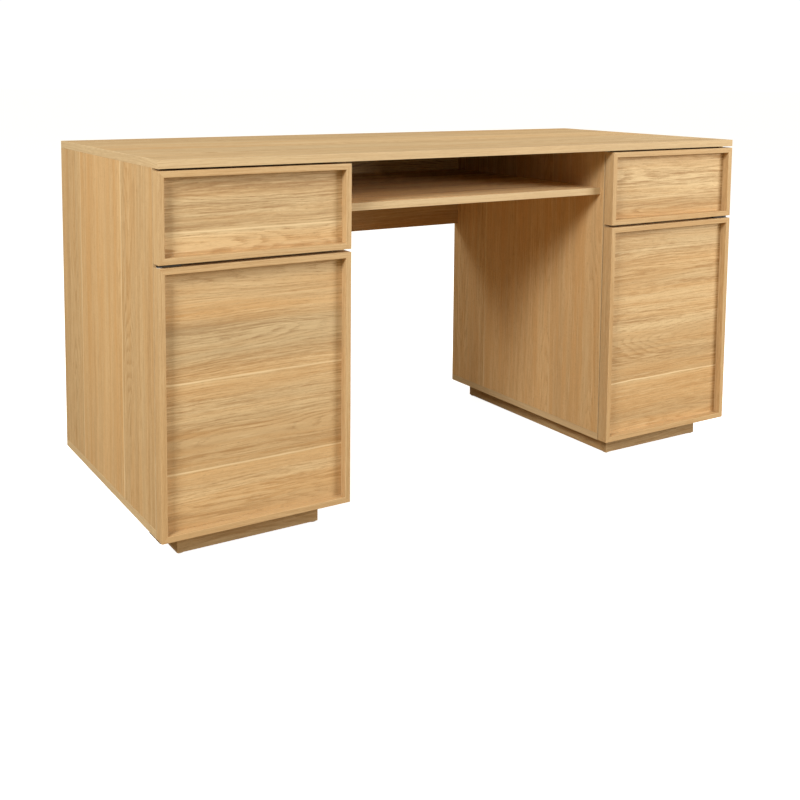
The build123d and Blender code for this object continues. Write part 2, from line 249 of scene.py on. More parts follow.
def oak_group():
    """The wood itself: growth rings about a heart line, streaks, fibres, pores and rays."""
    existing = bpy.data.node_groups.get("oak_wood")
    if existing:
        return existing
    wood = bpy.context.scene.desk_oak
    tree = bpy.data.node_groups.new("oak_wood", "ShaderNodeTree")
    for name, kind in (("Place", "NodeSocketVector"), ("From heart", "NodeSocketFloat"),
                       ("Tone", "NodeSocketColor"), ("Joint", "NodeSocketFloat"),
                       ("Arris", "NodeSocketFloat")):
        tree.interface.new_socket(name, in_out="INPUT", socket_type=kind)
    for name, kind in (("Colour", "NodeSocketColor"), ("Roughness", "NodeSocketFloat"),
                       ("Height", "NodeSocketFloat")):
        tree.interface.new_socket(name, in_out="OUTPUT", socket_type=kind)
    given = tree.nodes.new("NodeGroupInput").outputs
    taken = tree.nodes.new("NodeGroupOutput").inputs
    place = given["Place"]
    tone = add_node(tree, "ShaderNodeSeparateColor", {0: given["Tone"]}).outputs

    wander = calc(tree, "SUBTRACT", grain_noise(tree, place, (1.6, 6.0, 6.0)), 0.5)
    ripple = calc(tree, "SUBTRACT", grain_noise(tree, place, (9.0, 30.0, 30.0)), 0.5)
    sway = calc(tree, "MULTIPLY_ADD", wander, 0.030, calc(tree, "MULTIPLY", ripple, 0.005))
    sideways = add_node(tree, "ShaderNodeCombineXYZ", {1: sway}).outputs[0]
    fibre_place = vector_calc(tree, "ADD", place, sideways)

    depth_drift = grain_noise(tree, place, (1.5, 1.2, 1.2), 1.0)
    depth = fade(tree, depth_drift, 0.34, 0.66, 0.000, 0.060, smooth=False)
    knot = grain_noise(tree, place, (5.0, 30.0, 30.0), 2.0)
    beside = calc(tree, "ADD", given["From heart"], sway)
    rings_per_metre = 190.0
    radius = calc(tree, "SQRT", calc(tree, "ADD", calc(tree, "MULTIPLY", beside, beside),
                                     calc(tree, "MULTIPLY", depth, depth)))
    uneven = grain_noise(tree, place, (2.0, 40.0, 40.0), 3.0)
    rings = calc(tree, "MULTIPLY_ADD", radius, rings_per_metre, calc(tree, "MULTIPLY", uneven, 3.0))
    ring = calc(tree, "FRACT", calc(tree, "MULTIPLY_ADD", knot, 2.2, rings))
    early = ramp(tree, ring, ((0.0, (1.0,) * 3), (0.16, (0.8,) * 3), (0.42, (0.2,) * 3),
                              (0.86, (0.0,) * 3), (1.0, (1.0,) * 3)))
    near_heart = fade(tree, calc(tree, "ABSOLUTE", beside), 0.010, 0.055, 1.0, 0.25)
    plain = fade(tree, grain_noise(tree, place, (2.8, 14.0, 14.0)), 0.40, 0.60, 0.35, 1.0)
    figure = calc(tree, "MULTIPLY", near_heart, plain)

    broad = grain_noise(tree, fibre_place, (1.1, 20.0, 20.0), 2.0)
    stripe = grain_noise(tree, fibre_place, (1.5, 54.0, 54.0), 2.0)
    streak = grain_noise(tree, fibre_place, (2.4, 100.0, 100.0), 3.0, 0.62)
    line = grain_noise(tree, fibre_place, (3.5, 380.0, 380.0), 2.0)
    dash = grain_noise(tree, fibre_place, (34.0, 540.0, 540.0), 2.0, 0.6)
    fibre = grain_noise(tree, fibre_place, (14.0, 900.0, 900.0), 2.0)
    pore_field = grain_noise(tree, fibre_place, (110.0, 2600.0, 2600.0), 1.0)
    pores = calc(tree, "MULTIPLY", fade(tree, pore_field, 0.54, 0.66),
                 calc(tree, "MULTIPLY_ADD", early, 0.8, 0.2))
    pale_dash = grain_noise(tree, vector_calc(tree, "ADD", fibre_place, (0.31, 0.17, 0.23)),
                            (9.0, 280.0, 280.0), 2.0, 0.6)
    rays = fade(tree, pale_dash, 0.56, 0.68)
    orange_drift = grain_noise(tree, vector_calc(tree, "ADD", place, (0.7, 0.4, 0.9)), (1.8, 34.0, 34.0), 3.0)
    tan_drift = grain_noise(tree, vector_calc(tree, "ADD", place, (1.9, 1.3, 0.2)), (2.4, 46.0, 46.0), 3.0)

    share = 0.32
    amounts = ((broad, 1.4), (stripe, 1.1), (streak, 1.3), (line, 2.1), (dash, 2.2), (fibre, 0.9))
    for grain, gain in amounts:
        share = calc(tree, "MULTIPLY_ADD", calc(tree, "SUBTRACT", grain, 0.5), gain, share)
    ring_mark = calc(tree, "MULTIPLY", calc(tree, "SUBTRACT", early, 0.33), figure)
    share = calc(tree, "MULTIPLY_ADD", ring_mark, 0.75, share)
    shade = blend(tree, share, wood.pale, wood.deep)
    orange = calc(tree, "ADD", fade(tree, orange_drift, 0.44, 0.62, 0.0, 0.45), tone["Green"])
    shade = blend(tree, calc(tree, "MULTIPLY", orange, 0.60), shade, wood.orange)
    tan = calc(tree, "ADD", fade(tree, tan_drift, 0.46, 0.64, 0.0, 0.45), tone["Blue"])
    shade = blend(tree, calc(tree, "MULTIPLY", tan, 0.45), shade, wood.tan)
    shaded = vector_calc(tree, "SCALE", shade)
    tree.links.new(fade(tree, tone["Red"], 0.0, 1.0, 0.55, 1.45, smooth=False), shaded.node.inputs["Scale"])
    shade = blend(tree, calc(tree, "MULTIPLY", rays, 0.26), shaded, wood.joint)
    shade = blend(tree, calc(tree, "MULTIPLY", pores, 0.45), shade, wood.pore)
    shade = blend(tree, given["Joint"], shade, wood.joint)
    # Painted highlight: the arrises are paled halfway towards the joint colour.
    shade = blend(tree, calc(tree, "MULTIPLY", given["Arris"], 0.50), shade, wood.joint)
    tree.links.new(shade, taken["Colour"])

    rough = calc(tree, "MULTIPLY_ADD", pores, 0.16, 0.50)
    rough = calc(tree, "MULTIPLY_ADD", streak, 0.12, rough)
    rough = calc(tree, "MULTIPLY_ADD", given["Arris"], -0.08, rough)
    tree.links.new(rough, taken["Roughness"])
    height = calc(tree, "MULTIPLY_ADD", pores, -0.8, calc(tree, "MULTIPLY", fibre, 0.35))
    height = calc(tree, "MULTIPLY_ADD", early, -0.12, height)
    tree.links.new(height, taken["Height"])
    return tree


def chance_leaves(seed, joints, lines=(), value=0.51, orange=0.3):
    """Random hearts and tones for the leaves of veneer between the joints, which lie at shares
    of the piece's width. lines gives the strength of the pale line at each joint.
    Returns what oak() takes as leaves and tones."""
    draw = random.Random(seed)
    leaves, tones = [], []
    step = 0.004
    starts = (0.0, *joints)
    for i, start in enumerate(starts):
        end = starts[i + 1] - step if i + 1 < len(starts) else 1.0
        line = lines[i - 1] if 0 < i <= len(lines) else 0.12
        leaves.append((start, draw.uniform(start, end), line if i else 0.0))
        tone = (value + draw.uniform(-0.06, 0.06), orange + draw.uniform(-0.2, 0.2), draw.uniform(0.0, 0.35))
        tones += [(start, tone), (end, tone)]
    return leaves, tones


def oak(name, grain, low, high, leaves, tones, tint=None, tint_share=0.0):
    """Oak veneer or solid oak. grain names the axes along, across and into the wood.
    low and high are where the piece starts and ends across the grain. leaves is a list of
    (start as a share of the width, heart as a share, strength of the pale line at its start).
    tones is a list of (share, (value, orange, tan)), blended from each to the next."""
    material, tree, shader, coordinates = new_material(name)
    parts = split(tree, coordinates.outputs["Object"])
    along, across, into = (parts[AXES.index(letter)] for letter in grain)
    share = fade(tree, across, low, high, smooth=False)
    steps = [(start, (heart, i * 0.37 % 1.0, i * 0.61 % 1.0)) for i, (start, heart, _) in enumerate(leaves)]
    leaf = add_node(tree, "ShaderNodeSeparateColor", {0: ramp(tree, share, steps, "CONSTANT")}).outputs
    place = add_node(tree, "ShaderNodeCombineXYZ",
                     {0: calc(tree, "MULTIPLY_ADD", leaf["Green"], 3.0, along), 1: across,
                      2: calc(tree, "MULTIPLY_ADD", leaf["Blue"], 2.0, into)}).outputs[0]
    heart = calc(tree, "MULTIPLY_ADD", leaf["Red"], high - low, low)
    joint = 0.0
    lined = [(start, line) for start, _, line in leaves if line > 0.0]
    if lined:
        reach = JOINT_LINE / (high - low)
        wave = calc(tree, "SUBTRACT", grain_noise(tree, coordinates.outputs["Object"], (9.0, 9.0, 9.0)), 0.5)
        waved = calc(tree, "MULTIPLY_ADD", wave, reach * 3.0, share)
        patches = grain_noise(tree, coordinates.outputs["Object"], (6.0, 6.0, 6.0))
        worn = fade(tree, patches, 0.36, 0.58, 0.65, 1.0)
        for start, line in lined:
            near = calc(tree, "ABSOLUTE", calc(tree, "SUBTRACT", waved, start))
            mark = calc(tree, "MULTIPLY", fade(tree, near, reach * 0.35, reach * 1.5, line, 0.0), worn)
            joint = mark if joint == 0.0 else calc(tree, "MAXIMUM", joint, mark)
    wood = add_node(tree, "ShaderNodeGroup", node_tree=oak_group())
    for key, value in (("Place", place), ("From heart", calc(tree, "SUBTRACT", across, heart)),
                       ("Tone", ramp(tree, share, tones)), ("Joint", joint),
                       ("Arris", worn_arris(tree, place, coordinates.outputs["Normal"]))):
        if isinstance(value, bpy.types.NodeSocket):
            tree.links.new(value, wood.inputs[key])
        else:
            wood.inputs[key].default_value = value
    shade = wood.outputs["Colour"]
    if tint is not None:
        shade = blend(tree, tint_share, shade, tint)
    tree.links.new(shade, shader.inputs["Base Color"])
    tree.links.new(wood.outputs["Roughness"], shader.inputs["Roughness"])
    shader.inputs["Specular IOR Level"].default_value = 0.28
    relief(tree, shader, wood.outputs["Height"], 0.00012, 0.6)
    return material


def solid_oak(name, grain, tint, tint_share):
    """Edge bands and lipping: narrow strips cut from one board."""
    found = bpy.data.materials.get(name)
    if found:
        return found
    return oak(name, grain, -1.0, 1.0, [(0.0, 0.2, 0.0)], [(0.0, (0.46, 0.4, 0.1)), (1.0, (0.46, 0.4, 0.1))],
               tint=tint, tint_share=tint_share)


# Other finishes

def once(build):
    """Keeps one copy of a finish that several pieces share."""
    def kept(*settings):
        name = "_".join((build.__name__, *settings))
        return bpy.data.materials.get(name) or build(name, *settings)
    return kept


@once
def birch_plywood(name, along, thick):
    """Birch plywood: a rotary-cut face, and light and dark plies on the edges."""
    colours = bpy.context.scene.desk_fittings
    material, tree, shader, coordinates = new_material(name)
    across = next(letter for letter in AXES if letter not in along + thick)
    parts = split(tree, coordinates.outputs["Object"])
    turned = {i: parts[AXES.index(letter)] for i, letter in enumerate(along + across + thick)}
    place = add_node(tree, "ShaderNodeCombineXYZ", turned).outputs[0]
    figure = grain_noise(tree, place, (5.0, 34.0, 34.0), 4.0, 0.6)
    fibre = grain_noise(tree, place, (30.0, 800.0, 800.0))
    face = blend(tree, fade(tree, figure, 0.35, 0.70, 0.0, 0.42), colours.birch, colours.birch_core)
    face = blend(tree, fade(tree, fibre, 0.5, 0.7, 0.0, 0.16), face, colours.birch_core)
    ply = calc(tree, "FRACT", calc(tree, "MULTIPLY", parts[AXES.index(thick)], 375.0))
    dark = fade(tree, calc(tree, "PINGPONG", ply, 0.5), 0.21, 0.29)
    speckle = fade(tree, grain_noise(tree, place, (600.0, 600.0, 600.0)), 0.45, 0.65)
    edge = blend(tree, calc(tree, "MULTIPLY", dark, fade(tree, speckle, 0.0, 1.0, 0.45, 0.85)),
                 colours.birch, colours.birch_core)
    facing = calc(tree, "ABSOLUTE", split(tree, coordinates.outputs["Normal"])[AXES.index(thick)])
    shade = blend(tree, fade(tree, facing, 0.55, 0.75), edge, face)
    tree.links.new(shade, shader.inputs["Base Color"])
    tree.links.new(fade(tree, figure, 0.3, 0.7, 0.38, 0.52), shader.inputs["Roughness"])
    relief(tree, shader, fibre, 0.00008, 0.5)
    return material


@once
def zinc_steel(name, along, dulled=""):
    """Zinc plate: fine drawing marks along the metal and a faint cloudy passivation."""
    material, tree, shader, coordinates = new_material(name)
    stretch = [900.0 if letter != along else 14.0 for letter in AXES]
    place = coordinates.outputs["Object"]
    drawn = grain_noise(tree, place, stretch, 3.0)
    cloud = grain_noise(tree, place, (45.0, 45.0, 45.0), 3.0, 0.6)
    # When the second setting is given, the zinc is darkened to 0.22 as painted shade, so the part reads dark
    # in the narrow gap it shows through.
    zinc = tuple(part * (0.22 if dulled else 1.0) for part in bpy.context.scene.desk_fittings.zinc)
    bluish = (zinc[0] * 0.84, zinc[1] * 0.88, zinc[2] * 0.97)
    shade = blend(tree, fade(tree, cloud, 0.38, 0.66, 0.0, 0.8), zinc, bluish)
    tree.links.new(shade, shader.inputs["Base Color"])
    shader.inputs["Metallic"].default_value = 1.0
    rough = calc(tree, "MULTIPLY_ADD", drawn, 0.16, fade(tree, cloud, 0.3, 0.7, 0.22, 0.34))
    tree.links.new(rough, shader.inputs["Roughness"])
    relief(tree, shader, drawn, 0.00002, 0.5)
    return material


@once
def moulded(name, which):
    """Moulded plastic: nylon or black, with a spark-eroded skin and scuffs on its corners."""
    material, tree, shader, coordinates = new_material(name)
    base = tuple(getattr(bpy.context.scene.desk_fittings, which))
    place = coordinates.outputs["Object"]
    skin = grain_noise(tree, place, (2400.0, 2400.0, 2400.0))
    cloud = grain_noise(tree, place, (70.0, 70.0, 70.0), 3.0)
    scuffed = tuple(min(1.0, part * 1.15 + 0.02) for part in base)
    shade = blend(tree, fade(tree, cloud, 0.35, 0.7, 0.0, 0.6), base, scuffed)
    shade = blend(tree, calc(tree, "MULTIPLY", worn_arris(tree, place, coordinates.outputs["Normal"]), 0.4),
                  shade, scuffed)
    tree.links.new(shade, shader.inputs["Base Color"])
    tree.links.new(fade(tree, cloud, 0.3, 0.7, 0.42, 0.56), shader.inputs["Roughness"])
    relief(tree, shader, skin, 0.00003, 0.4)
    return material


@once
def beech(name):
    """Bare beech dowel with short dark rays."""
    material, tree, shader, coordinates = new_material(name)
    base = tuple(bpy.context.scene.desk_fittings.beech)
    place = coordinates.outputs["Object"]
    ray = fade(tree, grain_noise(tree, place, (260.0, 1500.0, 1500.0)), 0.58, 0.68)
    tone = grain_noise(tree, place, (12.0, 160.0, 160.0), 3.0)
    shade = blend(tree, fade(tree, tone, 0.3, 0.7, 0.0, 0.5), base, tuple(part * 0.82 for part in base))
    shade = blend(tree, calc(tree, "MULTIPLY", ray, 0.5), shade, tuple(part * 0.55 for part in base))
    tree.links.new(shade, shader.inputs["Base Color"])
    tree.links.new(fade(tree, tone, 0.3, 0.7, 0.55, 0.68), shader.inputs["Roughness"])
    relief(tree, shader, ray, -0.00006, 0.5)
    return material


# Shapes

def add_box(bm, low, high):
    """A box in bm. Returns its vertices."""
    made = bmesh.ops.create_cube(bm, size=1.0)["verts"]
    bmesh.ops.scale(bm, vec=Vector(high) - Vector(low), verts=made)
    bmesh.ops.translate(bm, vec=(Vector(high) + Vector(low)) / 2, verts=made)
    return made


def soften(bm, edges, radius, segments=2):
    bmesh.ops.bevel(bm, geom=list(edges), offset=radius, offset_type="OFFSET", segments=segments,
                    profile=0.5, affect="EDGES", material=-1, clamp_overlap=True)


def edges_of(verts):
    return {edge for vert in verts for edge in vert.link_edges}


def arrises(edges, low, high):
    """The edges that run along an arris of the whole box from low to high."""
    found = []
    for edge in edges:
        a, b = (vert.co for vert in edge.verts)
        held = sum(1 for i in range(3) for limit in (low[i], high[i])
                   if abs(a[i] - limit) < CLOSE and abs(b[i] - limit) < CLOSE)
        if held >= 2:
            found.append(edge)
    return found


def add_rod(bm, start, end, radius, end_radius=None, segments=24):
    """A closed round rod or cone from start to end."""
    start, end = Vector(start), Vector(end)
    run = end - start
    turn = run.to_track_quat("Z", "Y").to_matrix().to_4x4()
    matrix = Matrix.Translation((start + end) / 2) @ turn
    bmesh.ops.create_cone(bm, cap_ends=True, cap_tris=False, segments=segments, radius1=radius,
                          radius2=radius if end_radius is None else end_radius,
                          depth=run.length, matrix=matrix)


def carved(bm, cutter):
    """bm with the closed shapes in cutter taken away. Both are used up."""
    pair = []
    for name, shape in (("carved_body", bm), ("carved_cutter", cutter)):
        mesh = bpy.data.meshes.new(name)
        shape.to_mesh(mesh)
        shape.free()
        piece = bpy.data.objects.new(name, mesh)
        bpy.context.scene.collection.objects.link(piece)
        pair.append(piece)
    body, tool = pair
    cut = body.modifiers.new("cut", "BOOLEAN")
    cut.operation = "DIFFERENCE"
    cut.solver = "EXACT"
    cut.use_self = True
    cut.object = tool
    found = body.evaluated_get(bpy.context.evaluated_depsgraph_get())
    result = bmesh.new()
    result.from_mesh(found.data)
    for piece in pair:
        mesh = piece.data
        bpy.data.objects.remove(piece)
        bpy.data.meshes.remove(mesh)
    return result


def piece_from(name, bm, body, finishes, replaces=()):
    """Makes bm a piece that rides on body. finishes are its materials, in the order of their indices."""
    mesh = bpy.data.meshes.new(name)
    bmesh.ops.remove_doubles(bm, verts=bm.verts, dist=WELD)
    bm.to_mesh(mesh)
    bm.free()
    for finish in finishes:
        mesh.materials.append(finish)
    mesh.polygons.foreach_set("use_smooth", [True] * len(mesh.polygons))
    mesh.set_sharp_from_angle(angle=math.radians(CRISP_ANGLE))
    piece = bpy.data.objects.new(name, mesh)
    bpy.context.scene.collection.objects.link(piece)
    flat = piece.modifiers.new("Flat faces stay flat", "WEIGHTED_NORMAL")
    flat.keep_sharp = True
    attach(piece, body)
    if replaces:
        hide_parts(*replaces)
    return piece


def dress_cad(node, finish):
    """Gives a carried-over CAD node its finish."""
    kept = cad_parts[node]
    kept.data.materials.clear()
    kept.data.materials.append(finish)


@functools.lru_cache(maxsize=None)
def solids_in(node):
    """The lowest and highest corner of each separate solid in a CAD node."""
    bm = bmesh.new()
    bm.from_mesh(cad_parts[node].data)
    bmesh.ops.remove_doubles(bm, verts=bm.verts, dist=CLOSE)
    seen, boxes = set(), []
    for first in bm.verts:
        if first in seen:
            continue
        seen.add(first)
        reach, members = [first], []
        while reach:
            vert = reach.pop()
            members.append(vert.co.copy())
            for edge in vert.link_edges:
                other = edge.other_vert(vert)
                if other not in seen:
                    seen.add(other)
                    reach.append(other)
        boxes.append(tuple(Vector(pick(co[i] for co in members) for i in range(3)) for pick in (min, max)))
    bm.free()
    return boxes


def overlap(first, second):
    return all(first[0][i] < second[1][i] and second[0][i] < first[1][i] for i in range(3))


def bores_for(low, high):
    """Closed rods where dowels, cams, pegs and screws sit in the board from low to high, or None."""
    play = bpy.context.scene.desk_boards.play
    cutter = bmesh.new()
    for node, axis in (("dowels", 0), ("shelf_pegs", 0), ("cam_fittings", None), ("floor_screws", 2)):
        for solid in solids_in(node):
            if not overlap(solid, (low, high)):
                continue
            size_of = solid[1] - solid[0]
            middle = (solid[0] + solid[1]) / 2
            way = axis
            if way is None:
                way = 0 if abs(size_of.y - size_of.z) < play else 2
            across = min(size_of[i] for i in range(3) if i != way) / 2 + play
            if node == "shelf_pegs":
                across = size_of.z / 2 + play
            start, end = middle.copy(), middle.copy()
            start[way] = solid[0][way] - play
            end[way] = solid[1][way] + play
            if node == "floor_screws":
                shank = across * 0.7
                countersink = 0.003
                add_rod(cutter, start, end, shank)
                lip = start.copy()
                lip.z += countersink
                add_rod(cutter, start, lip, across, shank)
            else:
                add_rod(cutter, start, end, across)
    if not cutter.verts:
        cutter.free()
        return None
    return cutter


# Boards

def board_core(low, high, bands):
    """Corners of the veneered core once its edge bands are taken off."""
    band = bpy.context.scene.desk_boards.band
    core_low, core_high = low.copy(), high.copy()
    for mark in bands:
        axis = AXES.index(mark[1])
        if mark[0] == "-":
            core_low[axis] += band
        else:
            core_high[axis] -= band
    return core_low, core_high


def veneered_board(node, body, finish, bands):
    """A board on a CAD node's box: a veneered core and an oak band on each edge that shows.
    bands are faces such as -y, in the order in which they are glued on, the last one longest."""
    low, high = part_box(node)
    arris = bpy.context.scene.desk_boards.arris
    core = board_core(low, high, bands)
    bm = bmesh.new()
    soften(bm, arrises(edges_of(add_box(bm, *core)), low, high), arris)
    cutter = bores_for(*core)
    if cutter:
        bm = carved(bm, cutter)
    name = node + "_board"
    piece_from(name, bm, body, [finish], (node,))
    if not bands:
        return
    strips = bmesh.new()
    directions = []
    inner_low, inner_high = core
    for mark in bands:
        axis = AXES.index(mark[1])
        strip_low, strip_high = inner_low.copy(), inner_high.copy()
        if mark[0] == "-":
            strip_high[axis] = inner_low[axis]
            strip_low[axis] = low[axis]
            inner_low = inner_low.copy()
            inner_low[axis] = low[axis]
        else:
            strip_low[axis] = inner_high[axis]
            strip_high[axis] = high[axis]
            inner_high = inner_high.copy()
            inner_high[axis] = high[axis]
        verts = add_box(strips, strip_low, strip_high)
        run = max((i for i in range(3) if i != axis), key=lambda i: strip_high[i] - strip_low[i])
        if run not in directions:
            directions.append(run)
        for face in {face for vert in verts for face in vert.link_faces}:
            face.material_index = directions.index(run)
        soften(strips, arrises(edges_of(verts), low, high), arris)
    cutter = bores_for(low, high)
    if cutter:
        strips = carved(strips, cutter)
    finishes = [band_finish(AXES[run]) for run in directions]
    piece_from(name.replace("_board", "") + "_edge_bands", strips, body, finishes)


def band_finish(along):
    grain = {"x": "xzy", "y": "yzx", "z": "zyx"}[along]
    return solid_oak("oak_band_along_" + along, grain, tuple(bpy.context.scene.desk_oak.band), 0.48)


def leaf_joints(seed, count):
    """Shares at which count uneven leaves of veneer meet."""
    draw = random.Random(seed)
    return [(i + draw.uniform(-0.18, 0.18)) / count for i in range(1, count)]


def plain_oak(node, grain, count):
    """Veneer with random leaves for a board that mostly hides."""
    low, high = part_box(node)
    axis = AXES.index(grain[1])
    # Painted light: the centre shelf's value is raised to 0.98 to brighten it under the desktop.
    shaded = {"centre_shelf": (0.98, 0.0)}.get(node, (0.51, 0.3))
    if "plinth" in node:
        shaded = (0.30, 0.8)
    leaves, tones = chance_leaves(node, leaf_joints(node, count), (), *shaded)
    if node == "modesty_panel":
        # Painted shade and light: the modesty panel's lower leaf, below the centre shelf, is darker and
        # oranger, and its upper leaf, above the shelf, is much brighter.
        leaves = [(0.0, 0.3, 0.0), (0.60, 0.8, 0.1)]
        painted_shade_tone, painted_light_tone = (0.24, 0.9, 0.0), (0.92, 0.0, 0.6)
        tones = [(0.0, painted_shade_tone), (0.595, painted_shade_tone), (0.60, painted_light_tone), (1.0, painted_light_tone)]
    return oak("oak_" + node, grain, low[axis], high[axis], leaves, tones)


# Fronts

def lipping_strip(low, high, panel_low, along, sign):
    """One mitred strip of a front's lipping. along is its axis, 0 or 2, and sign the side it is on."""
    sizes = bpy.context.scene.desk_boards
    across = 2 - along
    seat = panel_low[across] - low[across]
    lip = seat + sizes.rebate
    outline = ((0.0, low.y), (lip, low.y), (lip, panel_low.y),
               (seat, panel_low.y), (seat, high.y), (0.0, high.y))
    edge = high[across] if sign > 0 else low[across]
    bm = bmesh.new()
    verts = []
    for inward, y in outline:
        co = Vector((0.0, y, 0.0))
        co[across] = edge - sign * inward
        co[along] = low[along]
        verts.append(bm.verts.new(co))
    face = bm.faces.new(verts)
    run = Vector((0.0, 0.0, 0.0))
    run[along] = high[along] - low[along]
    extruded = bmesh.ops.extrude_face_region(bm, geom=[face])["geom"]
    bmesh.ops.translate(bm, vec=run,
                        verts=[part for part in extruded if isinstance(part, bmesh.types.BMVert)])
    bmesh.ops.recalc_face_normals(bm, faces=bm.faces)
    long_edges = [e for e in bm.edges if abs((e.verts[0].co - e.verts[1].co)[along]) > run.length / 2]
    soften(bm, long_edges, sizes.lip_arris, 3)
    for end, outward in ((low[along], -1), (high[along], 1)):
        corner = Vector((0.0, 0.0, 0.0))
        corner[across] = edge
        corner[along] = end
        normal = Vector((0.0, 0.0, 0.0))
        normal[along] = outward
        normal[across] = -sign
        cut = bmesh.ops.bisect_plane(bm, geom=[*bm.verts, *bm.edges, *bm.faces], dist=WELD,
                                     plane_co=corner, plane_no=normal, clear_outer=True)
        rim = [part for part in cut["geom_cut"] if isinstance(part, bmesh.types.BMEdge)]
        bmesh.ops.holes_fill(bm, edges=rim, sides=0)
    bmesh.ops.recalc_face_normals(bm, faces=bm.faces)
    return bm


def join_into(target, bm):
    mesh = bpy.data.meshes.new("joined")
    bm.to_mesh(mesh)
    bm.free()
    target.from_mesh(mesh)
    bpy.data.meshes.remove(mesh)


def bush_bores(side, which):
    """Bores for the door's bushes, or None for a drawer."""
    if which != "door":
        return None
    play = bpy.context.scene.desk_boards.play
    sizes = bpy.context.scene.desk_fitting_sizes
    cutter = bmesh.new()
    flange = sizes.bush_flange
    for low, high in solids_in(side + "_door_bushes"):
        middle = (low + high) / 2
        upper = middle.z > (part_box(side + "_door_panel")[0].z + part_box(side + "_door_panel")[1].z) / 2
        bottom = low.z - play if upper else low.z + flange - play
        top = high.z - flange + play if upper else high.z + play
        radius = (high.x - low.x) / 2 - sizes.bush_step + play
        add_rod(cutter, (middle.x, middle.y, bottom), (middle.x, middle.y, top), radius)
    return cutter


def build_front(side, which, leaves, tones):
    """The lipping and the recessed panel of one drawer front or door."""
    base = side + "_" + which
    body = base
    panel_low, panel_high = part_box(base + "_panel")
    low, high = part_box(base + "_stiles")
    colours = bpy.context.scene.desk_oak
    finishes = {0: solid_oak("oak_lipping_level", "xzy", tuple(colours.lipping), 0.40),
                2: solid_oak("oak_lipping_upright", "zxy", tuple(colours.lipping), 0.40)}
    for along, part in ((2, "stiles"), (0, "rails")):
        strips = bmesh.new()
        for sign in (-1, 1):
            join_into(strips, lipping_strip(low, high, panel_low, along, sign))
        cutter = bush_bores(side, which)
        if cutter:
            strips = carved(strips, cutter)
        piece_from(base + "_lipping_" + part, strips, body, [finishes[along]],
                   (base + "_" + part,))
    bm = bmesh.new()
    verts = add_box(bm, panel_low, panel_high)
    soften(bm, edges_of(verts), 0.0003)
    finish = oak("oak_" + base + "_panel", "xzy", panel_low.z, panel_high.z, leaves, tones)
    piece_from(base + "_recessed_panel", bm, body, [finish], (base + "_panel",))


# Operators

class DESK_OT_desktop(bpy.types.Operator):
    """The desktop, veneered along its length, with solid edge bands"""
    bl_idname = "desk.desktop"
    bl_label = "Desktop"

    def execute(self, context):
        low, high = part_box("desktop")
        leaves, tones = chance_leaves(31, (0.20, 0.43, 0.66, 0.86), (0.2, 0.1, 0.25, 0.15), orange=0.4)
        finish = oak("oak_desktop", "xyz", low.y, high.y, leaves, tones)
        veneered_board("desktop", "desk_frame", finish, ("-x", "+x", "-y", "+y"))
        return {"FINISHED"}


class DESK_OT_side_boards(bpy.types.Operator):
    """The four upright walls of the pedestals"""
    bl_idname = "desk.side_boards"
    bl_label = "Side boards"

    def execute(self, context):
        for side in SIDES:
            for which in ("outer", "inner"):
                node = side + "_" + which + "_side"
                low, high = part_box(node)
                outer = which == "outer"
                lines = (0.90, 0.80) if outer else (0.25, 0.60)
                # Painted light: the inner side boards get a higher value and more orange, standing in for
                # light and warm bounce in the knee space.
                value, orange = (0.51, 0.75) if outer else (0.60, 0.95)
                leaves, tones = chance_leaves(node, (0.303, 0.755), lines, value, orange)
                finish = oak("oak_" + node, "zyx", low.y, high.y, leaves, tones)
                veneered_board(node, "desk_frame", finish, ("+y", "-y"))
        return {"FINISHED"}


class DESK_OT_carcass_boards(bpy.types.Operator):
    """Floor boards, backs, dividers, cupboard shelves, the centre shelf and the modesty panel"""
    bl_idname = "desk.carcass_boards"
    bl_label = "Carcass boards"

    def execute(self, context):
        boards = [("centre_shelf", "xyz", 4, ("-y",)), ("modesty_panel", "xzy", 2, ("-z",))]
        for side in SIDES:
            boards += [(side + "_floor_board", "yxz", 3, ("-x", "+x", "+y", "-y")),
                       (side + "_back_board", "zxy", 3, ()),
                       (side + "_divider", "xyz", 4, ("-y",)),
                       (side + "_cupboard_shelf", "xyz", 4, ("-y",))]
        for node, grain, count, bands in boards:
            veneered_board(node, "desk_frame", plain_oak(node, grain, count), bands)
        return {"FINISHED"}


class DESK_OT_plinths(bpy.types.Operator):
    """The recessed plinth under each pedestal"""
    bl_idname = "desk.plinths"
    bl_label = "Plinths"

    def execute(self, context):
        arris = context.scene.desk_boards.arris
        for side in SIDES:
            for which, grain in (("front", "xzy"), ("back", "xzy"), ("sides", "yzx")):
                node = side + "_plinth_" + which
                bm = bmesh.new()
                for low, high in solids_in(node):
                    soften(bm, edges_of(add_box(bm, low, high)), arris)
                piece_from(node + "_boards", bm, "desk_frame", [plain_oak(node, grain, 1)],
                           (node,))
        return {"FINISHED"}


